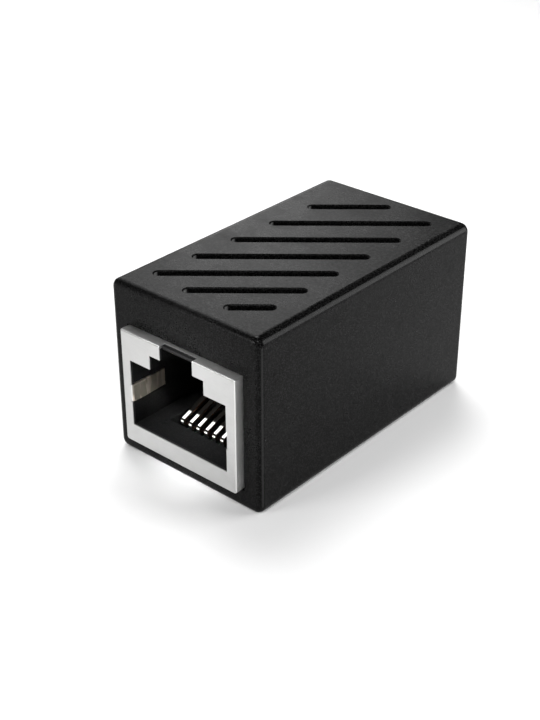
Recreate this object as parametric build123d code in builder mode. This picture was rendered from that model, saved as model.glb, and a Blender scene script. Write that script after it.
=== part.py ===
"""Inline network coupler: a moulded housing with a shielded eight-contact socket at each end."""
import os
from math import radians, tan

from build123d import *

os.makedirs("parts", exist_ok=True)

# Lengths are in millimetres and angles in degrees. X runs across the ports, Y from the
# front port to the rear one, and Z up from the face that the coupler rests on.

# Housing shell, open at the rear
housing_width = 18.0
housing_length = 31.0
housing_height = 18.0
long_edge_radius = 0.85
end_edge_radius = 0.6
side_wall = 1.3
floor_wall = 0.9
top_wall = 2.0
end_wall = 1.5
port_clearance = 0.1

# Slanted grooves in the top, whose spacing grows a little from each to the next
groove_count = 7
groove_width = 0.95
groove_depth = 1.0
groove_angle = 40.3
groove_pitch = 4.2
groove_pitch_growth = 0.2
groove_start = 0.2
groove_left_margin = 3.03
groove_left_lean = 0.054
groove_right_margin = 2.9
groove_front_margin = 2.5
groove_rear_margin = 2.0
groove_rim = 0.12

# Rails that carry the circuit board
ledge_height = 0.55
ledge_width = 0.55
rail_width = 0.5
rail_height = 0.7
rail_clearance = 0.05

# Rear cover and its two snap arms
rebate_wall = 1.0
cover_fit = 0.05
cover_rim = 0.2
arm_spacing = 9.0
arm_width = 3.0
arm_length = 4.5
arm_thickness = 0.9
arm_fit = 0.1
catch_height = 0.4
catch_length = 0.9
catch_clearance = 0.1

# Circuit board
board_thickness = 0.6
board_side_gap = 0.1
board_end_gap = 0.15
tail_slot_fit = 0.12
post_hole_fit = 0.1
peg_hole_fit = 0.1

# Shield, folded from plated sheet round each socket
sheet = 0.3
shield_side_margin = 2.0
shield_top_margin = 4.15
shield_back_gap = 1.8
shield_proud = 1.0
lip_depth = 2.4
lip_corner = 0.35
top_corner = 0.12
front_rim = 0.1
latch_cut_depth = 0.74
peg_depth = 10.0
peg_width = 1.2
peg_reach = 0.4

# Keyed port opening, set by its margins inside the shield's front
port_jamb = 1.08
port_rise = 2.0
port_header = 2.9
step_shoulder = 2.595
step_rise = 1.45
notch_shoulder = 1.325

# Ground springs, folded in from the sides of the shield's opening
spring_drop = 0.09
spring_height = 1.73
spring_length = 4.15
spring_stand = 0.12
spring_bow = 0.06
spring_bow_depth = 1.5
spring_flare = 0.05
fold_radius = 0.2
spring_relief = 0.05
spring_window = 0.15

# Jack body, moulded in one piece
body_fit = 0.04
comb_wall = 1.2
catch_ledge = 1.5
latch_roof = 0.4
latch_depth = 9.0
bridge_height = 0.3
lead_in = 0.07
lead_in_depth = 2.2
post_margin = 1.75
post_diameter = 1.4
post_depth = 6.0
post_chamfer = 0.15
post_reach = 0.1

# Spring contacts and the comb that parts them
contact_count = 8
contact_pitch = 1.02
contact_width = 0.45
contact_thickness = 0.25
contact_slope = 20.0
contact_tip_reach = 0.55
run_rise = 1.0
nose_depth = 4.0
nose_radius = 0.27
tail_bend = 0.35
tail_setback = 0.7
tail_row_pitch = 1.3
tail_reach = 0.4
trough_start = 2.75
trough_depth = 0.55
trough_margin = 0.07
pit_end = 5.3
pit_floor_thickness = 0.4
slot_width = 0.6
slot_start = 3.6
comb_headroom = 0.72
contact_fit = 0.03

# Contact insert behind each jack body
insert_side_gap = 1.0
insert_headroom = 3.1
insert_depth = 2.86
insert_foot = 3.4
insert_plate = 1.2

# Widths that follow from the sizes above
cavity_half = housing_width / 2 - side_wall
shield_width = housing_width - 2 * shield_side_margin
port_width = shield_width - 2 * port_jamb
step_width = port_width - 2 * step_shoulder
notch_width = step_width - 2 * notch_shoulder

# Depths, those of a socket from its port face
cover_face = housing_length / 2 - end_wall
port_face = housing_length / 2 + shield_proud
shield_depth = port_face - shield_back_gap / 2
insert_back = shield_depth - sheet - body_fit
body_back = insert_back - insert_depth
cavity_depth = body_back - comb_wall
contact_tip_depth = cavity_depth + contact_tip_reach
tail_depth = body_back + tail_setback
# The two straight lines of a contact's nose meet at a point ahead of its round bend
nose_setback = nose_radius / tan(radians(contact_slope / 2))
nose_corner = nose_depth + contact_thickness / 2 + nose_radius - nose_setback

# Heights
ceiling = housing_height - top_wall
board_top = floor_wall + ledge_height + board_thickness
shield_top = housing_height - shield_top_margin
port_floor = board_top + port_rise
port_roof = shield_top - port_header
step_roof = port_roof + step_rise
spring_floor = (port_floor + port_roof - spring_height) / 2 - spring_drop
body_top = shield_top - sheet - body_fit
latch_top = body_top - latch_roof
trough_floor = port_floor - trough_depth
run_height = board_top + run_rise
tip_height = run_height + (contact_tip_depth - nose_corner) * tan(radians(contact_slope))
comb_top = tip_height + comb_headroom
insert_top = shield_top - sheet - insert_headroom


def port_plane(side):
    """Face of one socket: side is -1 for the front port and 1 for the rear one."""
    return Plane(origin=(0, side * port_face, 0), x_dir=(-side, 0, 0), z_dir=(0, side, 0))


def plan_plane(port, height):
    """Level plane at a height, whose x runs across the port and whose y runs into it."""
    return Plane(origin=port.origin + Vector(0, 0, height), x_dir=port.x_dir, z_dir=(0, 0, 1))


def side_plane(port, across=0):
    """Upright plane at a distance across the port, whose x runs into it and whose y runs up."""
    return Plane(origin=port.origin + port.x_dir * across, x_dir=-port.z_dir, z_dir=port.x_dir)


def span(x_low, x_high, y_low, y_high):
    """Rectangle between two pairs of limits, drawn in the open sketch."""
    with Locations(((x_low + x_high) / 2, (y_low + y_high) / 2)):
        Rectangle(x_high - x_low, y_high - y_low)


def contact_places():
    """Distance across the port of each contact."""
    return [(index - (contact_count - 1) / 2) * contact_pitch for index in range(contact_count)]


def tail_depths():
    """Depth of each contact's tail, in two staggered rows."""
    return [tail_depth + (index % 2) * tail_row_pitch for index in range(contact_count)]


def post_places():
    """Place across the port and depth of each post under a jack body."""
    across = shield_width / 2 - post_margin
    return [(-across, post_depth), (across, post_depth)]


def groove_lines():
    """Centre and length of each groove between its margins on the top."""
    slope = tan(radians(groove_angle))
    left_limit = groove_left_margin - housing_width / 2
    right_limit = housing_width / 2 - groove_right_margin
    front_limit = groove_front_margin - housing_length / 2
    rear_limit = housing_length / 2 - groove_rear_margin
    lines = []
    crossing = groove_start - housing_length / 2
    for index in range(groove_count):
        # The left tips stand on a line that leans inwards towards the rear
        tip = (left_limit + groove_left_lean * crossing) / (1 - groove_left_lean * slope)
        left = max(tip, (front_limit - crossing) / slope)
        right = min(right_limit, (rear_limit - crossing) / slope)
        start = Vector(left, crossing + left * slope)
        end = Vector(right, crossing + right * slope)
        if right > left and (end - start).length > 2 * groove_width:
            lines.append(((start + end) / 2, (end - start).length))
        crossing += groove_pitch + index * groove_pitch_growth
    return lines


def make_housing_shell():
    """Tube with a front wall: grooves outside, board rails and snap pockets inside."""
    front = Plane(origin=(0, -housing_length / 2, 0), x_dir=(1, 0, 0), z_dir=(0, -1, 0))
    inside = front.offset(-end_wall)
    rear = Plane(origin=(0, housing_length / 2, 0), x_dir=(1, 0, 0), z_dir=(0, -1, 0))
    with BuildPart() as shell:
        with BuildSketch(front):
            span(-housing_width / 2, housing_width / 2, 0, housing_height)
        extrude(amount=-housing_length)
        fillet(shell.edges().filter_by(Axis.Y), long_edge_radius)
        end_faces = shell.faces().filter_by(Axis.Y)
        fillet(end_faces.edges(), end_edge_radius)

        with BuildSketch(inside):
            span(-cavity_half, cavity_half, floor_wall, ceiling)
        extrude(amount=-(housing_length - end_wall), mode=Mode.SUBTRACT)

        rebate_half = housing_width / 2 - rebate_wall
        with BuildSketch(rear):
            span(-rebate_half, rebate_half, floor_wall, housing_height - rebate_wall)
        extrude(amount=end_wall, mode=Mode.SUBTRACT)

        with BuildSketch(front):
            opening_half = shield_width / 2 + port_clearance
            span(-opening_half, opening_half, board_top - port_clearance, shield_top + port_clearance)
        extrude(amount=-end_wall, mode=Mode.SUBTRACT)

        # Ledges below the board and rails above it, along both side walls
        rail_floor = board_top + rail_clearance
        with BuildSketch(inside):
            for hand in (-1, 1):
                ledge_limits = sorted((hand * cavity_half, hand * (cavity_half - ledge_width)))
                rail_limits = sorted((hand * cavity_half, hand * (cavity_half - rail_width)))
                span(*ledge_limits, floor_wall, floor_wall + ledge_height)
                span(*rail_limits, rail_floor, rail_floor + rail_height)
        extrude(amount=-(housing_length - 2 * end_wall))

        # Pockets in the ceiling for the cover's snap arms
        catch_centre = cover_face - arm_length + catch_length / 2
        with BuildSketch(Plane.XY.offset(ceiling)):
            with Locations((-arm_spacing / 2, catch_centre), (arm_spacing / 2, catch_centre)):
                Rectangle(arm_width + 2 * catch_clearance, catch_length + 2 * catch_clearance)
        extrude(amount=catch_height + catch_clearance - arm_fit, mode=Mode.SUBTRACT)

        with BuildSketch(Plane.XY.offset(housing_height)):
            for centre, length in groove_lines():
                with Locations(centre):
                    SlotOverall(length, groove_width, rotation=groove_angle)
        extrude(amount=-groove_depth, mode=Mode.SUBTRACT)
        top_face = shell.faces().filter_by(Plane.XY).sort_by(Axis.Z)[-1]
        rims = [edge for wire in top_face.inner_wires() for edge in wire.edges()]
        chamfer(rims, groove_rim)
    return shell.part


def make_rear_cover():
    """Plate that closes the rear, with the rear port's opening and two snap arms."""
    outer = Plane(origin=(0, housing_length / 2, 0), x_dir=(1, 0, 0), z_dir=(0, -1, 0))
    plate_half = housing_width / 2 - rebate_wall - cover_fit
    plate_top = housing_height - rebate_wall - cover_fit
    with BuildPart() as cover:
        with BuildSketch(outer):
            span(-plate_half, plate_half, floor_wall + cover_fit, plate_top)
        extrude(amount=end_wall)
        fillet(cover.faces().sort_by(Axis.Y)[-1].edges(), cover_rim)

        with BuildSketch(outer):
            opening_half = shield_width / 2 + port_clearance
            span(-opening_half, opening_half, board_top - port_clearance, shield_top + port_clearance)
        extrude(amount=end_wall, mode=Mode.SUBTRACT)

        # Arms just under the ceiling, each with a catch on its end
        arm_top = ceiling - arm_fit
        arm_middle = arm_top - arm_thickness / 2
        with BuildSketch(Plane(origin=(0, cover_face, 0), x_dir=(1, 0, 0), z_dir=(0, -1, 0))):
            with Locations((-arm_spacing / 2, arm_middle), (arm_spacing / 2, arm_middle)):
                Rectangle(arm_width, arm_thickness)
        extrude(amount=arm_length)
        for across in (-arm_spacing / 2, arm_spacing / 2):
            catch_start = cover_face - arm_length
            with BuildSketch(Plane.YZ.offset(across)):
                with BuildLine():
                    Polyline(
                        (catch_start, arm_top),
                        (catch_start + catch_length, arm_top),
                        (catch_start + catch_length, arm_top + catch_height),
                        (catch_start + catch_length / 2, arm_top + catch_height),
                        close=True,
                    )
                make_face()
            extrude(amount=arm_width / 2, both=True)
    return cover.part


def make_circuit_board():
    """Thin board under both sockets, punched for their tails, posts and pegs."""
    board_half = cavity_half - board_side_gap
    board_end = cover_face - board_end_gap
    with BuildPart() as board:
        with BuildSketch(Plane.XY.offset(board_top)):
            span(-board_half, board_half, -board_end, board_end)
        extrude(amount=-board_thickness)
        for side in (-1, 1):
            with BuildSketch(plan_plane(port_plane(side), board_top)):
                with Locations(*zip(contact_places(), tail_depths())):
                    Rectangle(contact_width + 2 * tail_slot_fit, contact_thickness + 2 * tail_slot_fit)
                with Locations(*post_places()):
                    Circle(post_diameter / 2 + post_hole_fit)
                peg_across = (shield_width - sheet) / 2
                with Locations((-peg_across, peg_depth), (peg_across, peg_depth)):
                    Rectangle(sheet + 2 * peg_hole_fit, peg_width + 2 * peg_hole_fit)
            extrude(amount=-board_thickness, mode=Mode.SUBTRACT)
    return board.part


def draw_port_opening(top):
    """Keyed outline of the socket: plug body, latch step and latch notch up to a height."""
    span(-port_width / 2, port_width / 2, port_floor, port_roof)
    span(-step_width / 2, step_width / 2, port_floor, step_roof)
    span(-notch_width / 2, notch_width / 2, port_floor, top)


def make_shield(port):
    """Sheet can: keyed front, two sides, top, back and a lip under its front."""
    half = shield_width / 2
    with BuildPart() as shield:
        with BuildSketch(port) as front_outline:
            span(-half, half, board_top, shield_top)
            fillet(front_outline.vertices().group_by(Axis.Y)[0], lip_corner)
            fillet(front_outline.vertices().group_by(Axis.Y)[-1], top_corner)
        extrude(amount=-lip_depth)
        with BuildSketch(port.offset(-lip_depth)) as can_outline:
            span(-half, half, board_top, shield_top)
            fillet(can_outline.vertices().group_by(Axis.Y)[-1], top_corner)
        extrude(amount=-(shield_depth - lip_depth))
        front_face = shield.faces().filter_by(Axis.Y).sort_by(Axis.Y)[0 if port.z_dir.Y < 0 else -1]
        chamfer(front_face.edges(), front_rim)

        with BuildSketch(port.offset(-sheet)):
            span(-half + sheet, half - sheet, board_top + sheet, shield_top - sheet)
        extrude(amount=-(shield_depth - 2 * sheet), mode=Mode.SUBTRACT)
        with BuildSketch(plan_plane(port, board_top)):
            span(-half + sheet, half - sheet, lip_depth, shield_depth - sheet)
        extrude(amount=sheet, mode=Mode.SUBTRACT)

        # Keyed opening, with its latch notch run out through the top fold
        root_low = spring_floor - spring_relief
        root_high = spring_floor + spring_height + spring_relief
        with BuildSketch(port):
            draw_port_opening(shield_top)
            for hand in (-1, 1):
                root_end = port_width / 2 - spring_stand + fold_radius + sheet / 2
                span(*sorted((hand * port_width / 2, hand * root_end)), root_low, root_high)
        extrude(amount=-sheet, mode=Mode.SUBTRACT)
        with BuildSketch(port):
            span(-notch_width / 2, notch_width / 2, step_roof, shield_top)
        extrude(amount=-latch_cut_depth, mode=Mode.SUBTRACT)

        # Ground springs, bent back from the sides of the opening
        for hand in (-1, 1):
            spring_face = port_width / 2 - spring_stand + sheet / 2
            with BuildSketch(plan_plane(port, spring_floor)):
                with BuildLine():
                    FilletPolyline(
                        (hand * (spring_face + 2 * fold_radius), sheet / 2),
                        (hand * spring_face, sheet / 2),
                        (hand * (spring_face - spring_bow), spring_bow_depth),
                        (hand * (spring_face + spring_flare), spring_length),
                        radius=(fold_radius, spring_bow_depth / 2),
                    )
                    offset(amount=sheet / 2, side=Side.BOTH, kind=Kind.INTERSECTION)
                make_face()
            extrude(amount=spring_height)

        # Pegs that ground the shield to the board
        with BuildSketch(plan_plane(port, board_top)):
            with Locations((-half + sheet / 2, peg_depth), (half - sheet / 2, peg_depth)):
                Rectangle(sheet, peg_width)
        extrude(amount=-(board_thickness + peg_reach))
    return shield.part


def make_jack_body(port):
    """Moulded socket: keyed cavity, catch ledges, trough, comb slots and board posts."""
    half = shield_width / 2 - sheet - body_fit
    places = contact_places()
    with BuildPart() as body:
        with BuildSketch(plan_plane(port, board_top)):
            span(-half, half, sheet, body_back)
        extrude(amount=body_top - board_top)
        # Underside raised over the shield's lip
        with BuildSketch(plan_plane(port, board_top)):
            span(-half, half, sheet, lip_depth + body_fit)
        extrude(amount=sheet + body_fit, mode=Mode.SUBTRACT)
        # Bridge that fills the notch in the shield's top fold
        bridge_half = notch_width / 2 - body_fit
        with BuildSketch(plan_plane(port, body_top)):
            span(-bridge_half, bridge_half, sheet, latch_cut_depth - body_fit)
        extrude(amount=sheet)

        # Plug cavity, narrowed a little past its mouth
        mouth_half = port_width / 2
        with BuildSketch(plan_plane(port, port_floor)):
            with BuildLine():
                Polyline(
                    (-mouth_half, sheet),
                    (-mouth_half + lead_in, lead_in_depth),
                    (-mouth_half + lead_in, cavity_depth),
                    (mouth_half - lead_in, cavity_depth),
                    (mouth_half - lead_in, lead_in_depth),
                    (mouth_half, sheet),
                    close=True,
                )
            make_face()
        extrude(amount=port_roof - port_floor, mode=Mode.SUBTRACT)
        # Latch way: the bridge's sloped underside, then a step and a notch past it, and a wider
        # pocket behind the catch ledges
        with BuildSketch(side_plane(port)):
            with BuildLine():
                Polyline(
                    (sheet, port_floor),
                    (latch_cut_depth, port_floor),
                    (latch_cut_depth, latch_top),
                    (sheet, shield_top - bridge_height),
                    close=True,
                )
            make_face()
        extrude(amount=notch_width / 2, both=True, mode=Mode.SUBTRACT)
        with BuildSketch(port.offset(-latch_cut_depth)):
            span(-notch_width / 2, notch_width / 2, port_floor, latch_top)
        extrude(amount=-(catch_ledge + sheet - latch_cut_depth), mode=Mode.SUBTRACT)
        with BuildSketch(port.offset(-sheet)):
            span(-step_width / 2, step_width / 2, port_floor, step_roof)
        extrude(amount=-catch_ledge, mode=Mode.SUBTRACT)
        with BuildSketch(port.offset(-(catch_ledge + sheet))):
            span(-step_width / 2, step_width / 2, port_floor, latch_top)
        extrude(amount=-(latch_depth - catch_ledge - sheet), mode=Mode.SUBTRACT)

        # Side windows for the ground springs
        with BuildSketch(plan_plane(port, spring_floor - spring_window)):
            span(-half, half, sheet, spring_length + spring_window)
        extrude(amount=spring_height + 2 * spring_window, mode=Mode.SUBTRACT)

        # Trough round the contacts, the pit they rise from, their slots, and the comb at the back
        trough_half = (contact_count - 1) * contact_pitch / 2 + slot_width / 2 + trough_margin
        with BuildSketch(plan_plane(port, trough_floor)):
            span(-trough_half, trough_half, trough_start, cavity_depth)
        extrude(amount=trough_depth, mode=Mode.SUBTRACT)
        pit_floor = board_top + pit_floor_thickness
        with BuildSketch(plan_plane(port, pit_floor)):
            span(-trough_half, trough_half, trough_start, pit_end)
        extrude(amount=trough_floor - pit_floor, mode=Mode.SUBTRACT)
        run_roof = run_height + contact_thickness / 2 + body_fit
        for across in places:
            with BuildSketch(side_plane(port, across)):
                span(slot_start, body_back, board_top, run_roof)
                span(cavity_depth, body_back, trough_floor, comb_top)
            extrude(amount=slot_width / 2, both=True, mode=Mode.SUBTRACT)

        # Posts that locate the body on the board
        with BuildSketch(plan_plane(port, board_top)):
            with Locations(*post_places()):
                Circle(post_diameter / 2)
        extrude(amount=-(board_thickness + post_reach))
        post_tips = body.faces().sort_by(Axis.Z)[:2]
        chamfer(post_tips.edges(), post_chamfer)
    return body.part


def make_contact_insert(port):
    """Block behind the jack body that holds the contacts where they turn down to the board."""
    channel = contact_width / 2 + contact_fit
    clear = contact_thickness / 2 + contact_fit
    with BuildPart() as insert:
        with BuildSketch(side_plane(port)):
            with BuildLine():
                Polyline(
                    (body_back, board_top),
                    (insert_back, board_top),
                    (insert_back, board_top + insert_foot),
                    (body_back + insert_plate, board_top + insert_foot),
                    (body_back + insert_plate, insert_top),
                    (body_back, insert_top),
                    close=True,
                )
            make_face()
        extrude(amount=shield_width / 2 - sheet - insert_side_gap, both=True)
        for across, depth in zip(contact_places(), tail_depths()):
            with BuildSketch(side_plane(port, across)):
                span(body_back, depth + clear, run_height - clear - tail_bend, run_height + clear)
                span(depth - clear - tail_bend, depth + clear, board_top, run_height)
            extrude(amount=channel, both=True, mode=Mode.SUBTRACT)
    return insert.part


def make_contact(port, across, depth):
    """Sprung strip: up from the board, forward under the floor, round its nose and back up."""
    with BuildPart() as contact:
        with BuildLine(side_plane(port, across)) as path:
            FilletPolyline(
                (depth, board_top - board_thickness - tail_reach),
                (depth, run_height),
                (nose_corner, run_height),
                (contact_tip_depth, tip_height),
                radius=(tail_bend, nose_radius),
            )
        with BuildSketch(Plane(origin=path.line @ 0, x_dir=port.x_dir, z_dir=path.line % 0)):
            Rectangle(contact_width, contact_thickness)
        sweep(path=path.line)
    return contact.part


def save(name, piece):
    """Label a finished piece and write it as its own file."""
    piece.label = name
    export_step(piece, f"parts/{name}.step")


save("housing_shell", make_housing_shell())
save("rear_cover", make_rear_cover())
save("circuit_board", make_circuit_board())
for end, side in (("front", -1), ("rear", 1)):
    port = port_plane(side)
    save(f"{end}_shield", make_shield(port))
    save(f"{end}_jack_body", make_jack_body(port))
    save(f"{end}_contact_insert", make_contact_insert(port))
    for number, (across, depth) in enumerate(zip(contact_places(), tail_depths()), 1):
        save(f"{end}_contact_{number}", make_contact(port, across, depth))
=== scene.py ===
from math import cos, radians, sin

import bpy
from mathutils import Matrix, Vector

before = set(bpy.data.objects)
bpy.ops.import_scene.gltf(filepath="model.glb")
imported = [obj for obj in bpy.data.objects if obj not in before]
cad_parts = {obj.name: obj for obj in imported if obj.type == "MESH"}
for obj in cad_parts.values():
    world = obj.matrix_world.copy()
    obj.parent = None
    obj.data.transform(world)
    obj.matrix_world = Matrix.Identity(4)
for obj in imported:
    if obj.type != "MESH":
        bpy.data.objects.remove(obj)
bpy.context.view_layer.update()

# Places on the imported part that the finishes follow, in metres. Heights are from the floor,
# depths from a port's face, and the others from the middle of the part.
lid_height = 0.018
rounding_height = 0.0171  # just below the rounded long edges of the lid
groove_height = 0.0175  # halfway down the walls of the grooves
groove_tip_reach = 0.0079  # across, beyond every groove's tip
port_face = 0.0165
port_half_width = 0.0062  # just outside the opening
port_top = 0.0136
socket_floor_height = 0.0042
spring_height = 0.00741  # middle of the ground springs
spring_half = 0.00087
contact_pitch = 0.00102
nose_height = 0.00334  # middle of the contacts' rounded noses
painted_dark_reflection_depth = 0.00412  # the painted dark reflection across each contact, behind its nose
painted_light_end_depth = 0.00502  # where the painted light on each contact ends and painted shadow begins


class Socket:
    """One output of a material's nodes, so that shader maths reads as plain arithmetic."""

    def __init__(self, finish, link):
        self.finish = finish
        self.link = link

    def math(self, operation, *terms):
        return self.finish.node("ShaderNodeMath", {"operation": operation}, terms)

    def __add__(self, other):
        return self.math("ADD", self, other)

    def __radd__(self, other):
        return self.math("ADD", other, self)

    def __sub__(self, other):
        return self.math("SUBTRACT", self, other)

    def __rsub__(self, other):
        return self.math("SUBTRACT", other, self)

    def __mul__(self, other):
        return self.math("MULTIPLY", self, other)

    def __rmul__(self, other):
        return self.math("MULTIPLY", other, self)

    def __abs__(self):
        return self.math("ABSOLUTE", self)

    def fraction(self):
        """What is left after the whole number below."""
        return self.math("FRACT", self)

    def fade(self, low, high, start=0.0, end=1.0):
        """Smooth step: start below low, end above high."""
        return self.finish.node(
            "ShaderNodeMapRange",
            {"interpolation_type": "SMOOTHSTEP"},
            {"Value": self, "From Min": low, "From Max": high, "To Min": start, "To Max": end},
        )

    def fall(self, low, high):
        """Smooth step down: 1 below low, 0 above high."""
        return self.fade(low, high, 1.0, 0.0)

    def near(self, place, inner, outer):
        """1 within inner of a place, 0 beyond outer."""
        return abs(self - place).fall(inner, outer)


class Finish:
    """A procedural material whose main shader is built up node by node."""

    def __init__(self, name):
        self.material = bpy.data.materials.new(name)
        self.material.use_nodes = True
        self.nodes = self.material.node_tree.nodes
        self.links = self.material.node_tree.links
        self.shader = self.nodes["Principled BSDF"]

    def node(self, kind, settings=None, inputs=(), output=0):
        """Add one node: its settings first, then the values or links of its sockets."""
        made = self.nodes.new(kind)
        for name, value in (settings or {}).items():
            setattr(made, name, value)
        pairs = inputs.items() if isinstance(inputs, dict) else enumerate(inputs)
        for key, value in pairs:
            self.feed(made.inputs[key], value)
        return Socket(self, made.outputs[output])

    def feed(self, socket, value):
        if isinstance(value, Socket):
            self.links.new(value.link, socket)
        elif socket.type == "RGBA":
            socket.default_value = (*value, 1.0)
        else:
            socket.default_value = value

    def set(self, **values):
        """Set or link sockets of the main shader, named with underscores for spaces."""
        for name, value in values.items():
            self.feed(self.shader.inputs[name.replace("_", " ")], value)

    def place(self):
        """Position on the object in metres."""
        return self.node("ShaderNodeTexCoord", output="Object")

    def facing(self):
        """Direction that the surface faces."""
        return self.node("ShaderNodeNewGeometry", output="Normal")

    def axes(self, vector):
        """The X, Y and Z parts of a vector."""
        first = self.node("ShaderNodeSeparateXYZ", None, [vector])
        return [Socket(self, part) for part in first.link.node.outputs]

    def stretched(self, x, y, z):
        """Position with each axis scaled, for grain that runs one way."""
        settings = {"operation": "MULTIPLY"}
        return self.node("ShaderNodeVectorMath", settings, [self.place(), (x, y, z)])

    def noise(self, scale, detail=3.0, roughness=0.55, vector=None, offset=(0.0, 0.0, 0.0)):
        place = vector or self.place()
        moved = self.node("ShaderNodeVectorMath", {"operation": "ADD"}, [place, offset])
        return self.node(
            "ShaderNodeTexNoise",
            {"normalize": True},
            {"Vector": moved, "Scale": scale, "Detail": detail, "Roughness": roughness},
        )

    def blend(self, factor, first, second):
        """Mix two colours."""
        return self.node(
            "ShaderNodeMix",
            {"data_type": "RGBA", "blend_type": "MIX", "clamp_factor": True},
            {0: factor, 6: first, 7: second},
            output=2,
        )

    def bump(self, height, distance, strength=1.0):
        inputs = {"Height": height, "Distance": distance, "Strength": strength}
        return self.node("ShaderNodeBump", None, inputs)


def housing_finish(name, base, pale, roughness, sheen, grain, painted_well_shade=0.0):
    """Moulded black plastic: fine matt grain, cloudy smudges and faint scuffs on the lid.

    The rounded long edges of the lid are smoother. The rounded corners of the walls carry a
    painted highlight, and painted light lies on the walls at the ends of the grooves.
    painted_well_shade sets how much painted shade darkens the deep floor of a socket.
    """
    scuff_grey = (0.035, 0.035, 0.0345)
    mottle_grey = (0.03, 0.03, 0.03)
    # Colours of the painted highlight on the wall corners and of the painted light at the
    # groove ends.
    painted_highlight_grey = (0.05, 0.05, 0.05)
    painted_tip_light_grey = (0.14, 0.14, 0.14)
    finish = Finish(name)
    across, along, height = finish.axes(finish.place())
    sideways, _, upwards = [abs(part) for part in finish.axes(finish.facing())]

    clouds = finish.noise(160.0, detail=4.0)
    smudges = finish.noise(420.0, detail=5.0, roughness=0.65, offset=(0.31, 0.17, 0.53))
    mottle = finish.noise(3000.0, detail=3.0, roughness=0.75, offset=(0.9, 0.4, 0.1))
    speckle = finish.noise(10500.0, detail=0.0, offset=(0.7, 0.2, 0.9))
    pits = finish.noise(7000.0, detail=1.0, offset=(0.2, 0.6, 0.4))
    scuffs = smudges.fade(0.54, 0.68) * finish.noise(2400.0, detail=2.0).fade(0.42, 0.6)

    lid = height.fade(lid_height - 0.00003, lid_height - 0.00001)
    rounded = height.fade(rounding_height, rounding_height + 0.0002)
    rounded = rounded * sideways.fade(0.01, 0.1) * sideways.fall(0.96, 0.99)
    # Painted highlight: a paler band on the near-vertical rounded corners of the walls.
    painted_corner_highlight = sideways.fade(0.8, 0.88) * sideways.fall(0.96, 0.985) * upwards.fall(0.02, 0.08)
    # Painted light on the walls at the ends of the grooves.
    painted_tip_light = sideways.fade(0.86, 0.97) * height.near(groove_height, 0.00036, 0.00042)
    painted_tip_light = painted_tip_light * abs(across).fall(groove_tip_reach - 0.0001, groove_tip_reach)

    shade = finish.blend(speckle.fade(0.45, 0.72) * 0.9, base, pale)
    shade = finish.blend(mottle.fade(0.44, 0.68) * lid * 0.7, shade, mottle_grey)
    shade = finish.blend(scuffs * lid * 0.8, shade, scuff_grey)
    # Paint the highlight on the wall corners, then the light at the groove ends.
    shade = finish.blend(painted_corner_highlight * 0.4, shade, painted_highlight_grey)
    shade = finish.blend(painted_tip_light, shade, painted_tip_light_grey)
    # Painted shade: the deep floor of a socket darkened towards black.
    if painted_well_shade:
        well = (port_face - abs(along)).fade(0.003, 0.006, 0.0, painted_well_shade)
        well = well * height.fall(socket_floor_height, socket_floor_height + 0.0004)
        shade = finish.blend(well, shade, (0.0, 0.0, 0.0))

    worn = clouds.fade(0.35, 0.7) * 0.06 + smudges.fade(0.4, 0.7) * 0.07 + scuffs * 0.15
    finish.set(
        Base_Color=shade,
        Roughness=(roughness + worn) * (1 - rounded * 0.5),
        Specular_IOR_Level=sheen,
        Normal=finish.bump((pits - 0.5) * (1 - rounded * 0.75), grain),
    )
    return finish.material


def plating_finish(name, base, dull, roughness, inner_roughness):
    """Satin nickel sheet: fronts paler than the greyer sides by painted light; painted shade in
    the port.

    In there, the ground springs carry painted shade and brownish painted glints that weaken
    inwards.
    """
    # Painted light makes the fronts paler than the sides; the port gets painted shade and
    # painted glints.
    painted_light_front_nickel = (0.84, 0.84, 0.83)
    painted_shade_spring_nickel = (0.2, 0.178, 0.15)
    glint_tan = (0.62, 0.53, 0.44)
    painted_shade_grey = (0.03, 0.03, 0.03)
    edge = 0.00005
    finish = Finish(name)
    across, along, height = finish.axes(finish.place())
    across, along = abs(across), abs(along)

    rolled = finish.noise(1.0, detail=3.0, vector=finish.stretched(900.0, 900.0, 7000.0))
    scratches = finish.noise(1.0, detail=2.0, vector=finish.stretched(900.0, 900.0, 9000.0))
    patches = finish.noise(240.0, detail=3.0, offset=(0.4, 0.1, 0.8))
    # Streaks for the painted glints on the ground springs.
    glints = finish.noise(
        1.0, detail=1.0, vector=finish.stretched(1.0, 2600.0, 420.0), offset=(0.3, 0.0, 0.6)
    )

    # Inside the port: painted shade on the sheet, which there is also less metallic and
    # smoother.
    inside = across.fall(port_half_width - edge, port_half_width)
    inside = inside * along.fall(port_face - 2 * edge, port_face - edge)
    inside = inside * height.fall(port_top - edge, port_top)
    # Fronts of the sheet, painted paler as painted light.
    front = along.fade(port_face - 0.00006, port_face - 0.00001)
    spring = height.near(spring_height, spring_half, spring_half + 0.00004)
    # The painted glints weaken inwards from the port's face.
    painted_glint_falloff = (port_face - along).fade(0.0006, 0.0026, 1.0, 0.25)

    outer = finish.blend(patches.fade(0.4, 0.7) * 0.7 + rolled.fade(0.4, 0.7) * 0.2, base, dull)
    outer = finish.blend(front, painted_light_front_nickel, outer)
    # Painted glints on the shaded springs; painted shade elsewhere in the port.
    painted_spring_glint = finish.blend(glints.fade(0.46, 0.58) * painted_glint_falloff, painted_shade_spring_nickel, glint_tan)
    painted_port_shade = finish.blend(spring, painted_shade_grey, painted_spring_glint)
    satin = roughness + patches.fade(0.35, 0.7) * 0.08 + scratches.fade(0.6, 0.72) * 0.1
    finish.set(
        Base_Color=finish.blend(inside, outer, painted_port_shade),
        Metallic=1 - inside * 0.5,
        Roughness=satin + inside * (inner_roughness - satin),
        Normal=finish.bump(rolled * (1 - inside), 0.0000015, 0.4),
    )
    return finish.material


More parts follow.
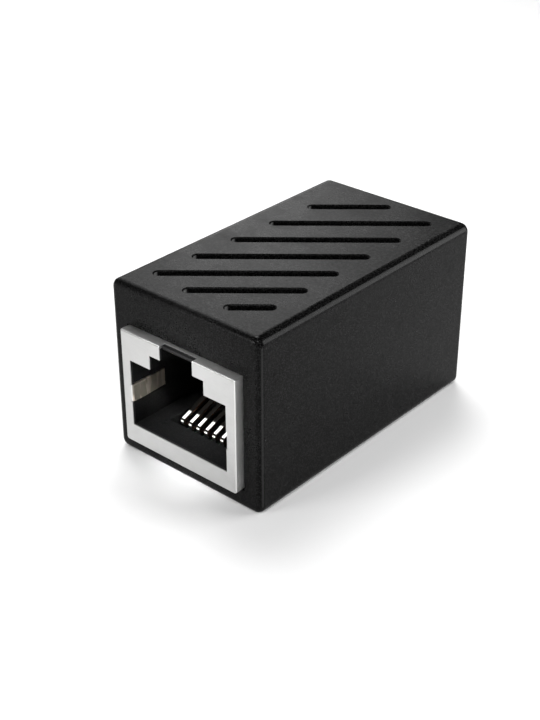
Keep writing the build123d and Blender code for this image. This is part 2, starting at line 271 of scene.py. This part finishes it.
def contact_finish(name):
    """Plated spring strip: painted light along the middle of its nose, painted shadow beyond
    and painted shade at its sides.

    A thin painted dark reflection crosses it behind the nose.
    """
    # Plating colour in the painted light band, then the painted shadow on the top and painted
    # shade on the sides.
    bright_plating = (0.93, 0.92, 0.88)
    streaked_plating = (0.85, 0.83, 0.77)
    painted_shadow_top = (0.004, 0.0035, 0.003)
    painted_shade_side = (0.022, 0.013, 0.008)
    finish = Finish(name)
    across, along, height = finish.axes(finish.place())
    sideways = abs(finish.axes(finish.facing())[0])
    depth = port_face - abs(along)
    streaks = finish.noise(1.0, detail=2.0, vector=finish.stretched(14000.0, 1200.0, 1200.0))

    cut_side = sideways.fade(0.5, 0.9)
    middle = (across * (1 / contact_pitch)).fraction().near(0.5, 0.145, 0.175)
    # Painted dark reflection: a thin line across the strip behind the nose.
    painted_dark_reflection = depth.near(painted_dark_reflection_depth, 0.00006, 0.0001)
    # Painted light on the middle of each strip from its nose, fading into painted shadow
    # further in.
    bright = depth.fall(painted_light_end_depth, painted_light_end_depth + 0.00024) * (1 - painted_dark_reflection)
    bright = bright * middle * (1 - cut_side) * height.fade(nose_height, nose_height + 0.00004)
    plated = finish.blend(streaks.fade(0.4, 0.7) * 0.5, bright_plating, streaked_plating)
    finish.set(
        Base_Color=finish.blend(bright, finish.blend(cut_side, painted_shadow_top, painted_shade_side), plated),
        Metallic=0.3,
        Specular_IOR_Level=0.1,
        Roughness=0.42 + streaks.fade(0.35, 0.7) * 0.12,
    )
    return finish.material


def board_finish(name):
    """Laminate with a dark green lacquer over a faint weave."""
    lacquer = (0.003, 0.014, 0.007)
    thin_lacquer = (0.005, 0.02, 0.01)
    finish = Finish(name)
    weave_inputs = {"Vector": finish.place(), "Scale": 1800.0}
    weave = finish.node("ShaderNodeTexBrick", {"offset": 0.5}, weave_inputs, output="Fac")
    patches = finish.noise(300.0)
    finish.set(
        Base_Color=finish.blend(patches.fade(0.35, 0.7), lacquer, thin_lacquer),
        Roughness=0.32 + patches.fade(0.4, 0.7) * 0.1,
        Normal=finish.bump(weave, 0.000004, 0.3),
    )
    return finish.material


def floor_finish(name):
    """Pale matt paper with a very faint tooth."""
    paper = (0.93, 0.93, 0.93)
    pale_paper = (0.95, 0.95, 0.95)
    finish = Finish(name)
    tooth = finish.noise(900.0, detail=4.0)
    broad = finish.noise(9.0, detail=2.0)
    finish.set(
        Base_Color=finish.blend(broad.fade(0.3, 0.7), paper, pale_paper),
        Roughness=0.85 + tooth * 0.1,
        Normal=finish.bump(tooth, 0.00002, 0.3),
    )
    return finish.material


# Camera at the photograph's angle
camera_azimuth = radians(41.26)
camera_elevation = radians(30.21)
camera_roll = radians(-0.15)
camera_lens = 67.01
camera_place = Vector((0.073044, -0.087203, 0.07221))

back = Vector((
    sin(camera_azimuth) * cos(camera_elevation),
    -cos(camera_azimuth) * cos(camera_elevation),
    sin(camera_elevation),
))
level_right = Vector((cos(camera_azimuth), sin(camera_azimuth), 0.0))
level_up = back.cross(level_right)
right = level_right * cos(camera_roll) + level_up * sin(camera_roll)
up = level_up * cos(camera_roll) - level_right * sin(camera_roll)
turn = Matrix((right, up, back)).transposed().to_4x4()
lens = bpy.data.cameras.new("camera")
lens.lens = camera_lens
lens.sensor_width = 36.0
lens.clip_start = 0.005
camera = bpy.data.objects.new("camera", lens)
camera.matrix_world = Matrix.Translation(camera_place) @ turn
bpy.context.scene.collection.objects.link(camera)
bpy.context.scene.camera = camera

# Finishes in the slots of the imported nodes
shell_plastic = housing_finish(
    "moulded_housing_black",
    base=(0.001, 0.001, 0.001),
    pale=(0.014, 0.014, 0.014),
    roughness=0.24,
    sheen=0.058,
    grain=0.0000022,
)
jack_plastic = housing_finish(
    "moulded_jack_black",
    base=(0.004, 0.004, 0.0042),
    pale=(0.013, 0.013, 0.013),
    roughness=0.35,
    sheen=0.14,
    grain=0.000003,
    painted_well_shade=0.85,
)
plating = plating_finish(
    "nickel_plated_sheet",
    base=(0.55, 0.55, 0.545),
    dull=(0.49, 0.49, 0.485),
    roughness=0.4,
    inner_roughness=0.32,
)
contact_plating = contact_finish("plated_spring_strip")
laminate = board_finish("green_board_laminate")

for name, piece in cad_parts.items():
    if name in ("housing_shell", "rear_cover"):
        chosen = shell_plastic
    elif name.endswith(("_jack_body", "_contact_insert")):
        chosen = jack_plastic
    elif name.endswith("_shield"):
        chosen = plating
    elif name == "circuit_board":
        chosen = laminate
    else:
        chosen = contact_plating
    for slot in piece.material_slots:
        slot.material = chosen

# Floor
far = 1.5
corners = [(-far, -far, 0), (far, -far, 0), (far, far, 0), (-far, far, 0)]
floor_mesh = bpy.data.meshes.new("floor")
floor_mesh.from_pydata(corners, [], [(0, 1, 2, 3)])
floor = bpy.data.objects.new("floor", floor_mesh)
floor_mesh.materials.append(floor_finish("pale_paper"))
bpy.context.scene.collection.objects.link(floor)


def add_softbox(name, place, aim, size, power, spread=180.0):
    """Rectangular area light that faces a point; spread is the full angle of its beam."""
    light = bpy.data.lights.new(name, "AREA")
    light.shape = "RECTANGLE"
    light.size, light.size_y = size
    light.energy = power
    light.spread = radians(spread)
    holder = bpy.data.objects.new(name, light)
    holder.location = place
    holder.rotation_euler = (Vector(aim) - Vector(place)).to_track_quat("-Z", "Y").to_euler()
    holder.visible_camera = False
    bpy.context.scene.collection.objects.link(holder)


# Left and rear give the sheen on the lid, edge the highlight along its right side, and port
# the light on the contacts' noses.
centre = (0.0, 0.0, lid_height / 2)
lid = (0.0, 0.0, lid_height)
rear_lid = (0.0, 0.008, lid_height)
right_edge = (0.009, 0.0, lid_height)
noses = (-0.0005, -0.0119, 0.005)
add_softbox("softbox_left", (-0.1126, 0.0532, 0.104), lid, (0.14, 0.12), 0.085)
add_softbox("softbox_overhead", (-0.14, 0.126, 0.38), centre, (0.18, 0.18), 0.95)
add_softbox("softbox_front", (0.12, -0.17, 0.26), centre, (0.1, 0.1), 0.4)
add_softbox("softbox_low", (-0.085, -0.215, 0.065), centre, (0.1, 0.1), 0.27)
add_softbox("softbox_port", (0.0275, -0.11, 0.1137), noses, (0.005, 0.005), 0.0009, 6.0)
add_softbox("softbox_edge", (0.113, 0.098, 0.056), right_edge, (0.11, 0.1), 0.076, 100.0)
add_softbox("softbox_rear", (-0.13, 0.15, 0.095), rear_lid, (0.07, 0.07), 0.029)
add_softbox("softbox_right", (0.33, -0.15, 0.05), centre, (0.06, 0.1), 0.12)

world = bpy.data.worlds.new("studio")
bpy.context.scene.world = world
world.use_nodes = True
sky = world.node_tree.nodes["Background"].inputs
sky["Color"].default_value = (1.0, 1.0, 1.0, 1.0)
sky["Strength"].default_value = 0.08
bpy.context.scene.view_settings.view_transform = "Standard"
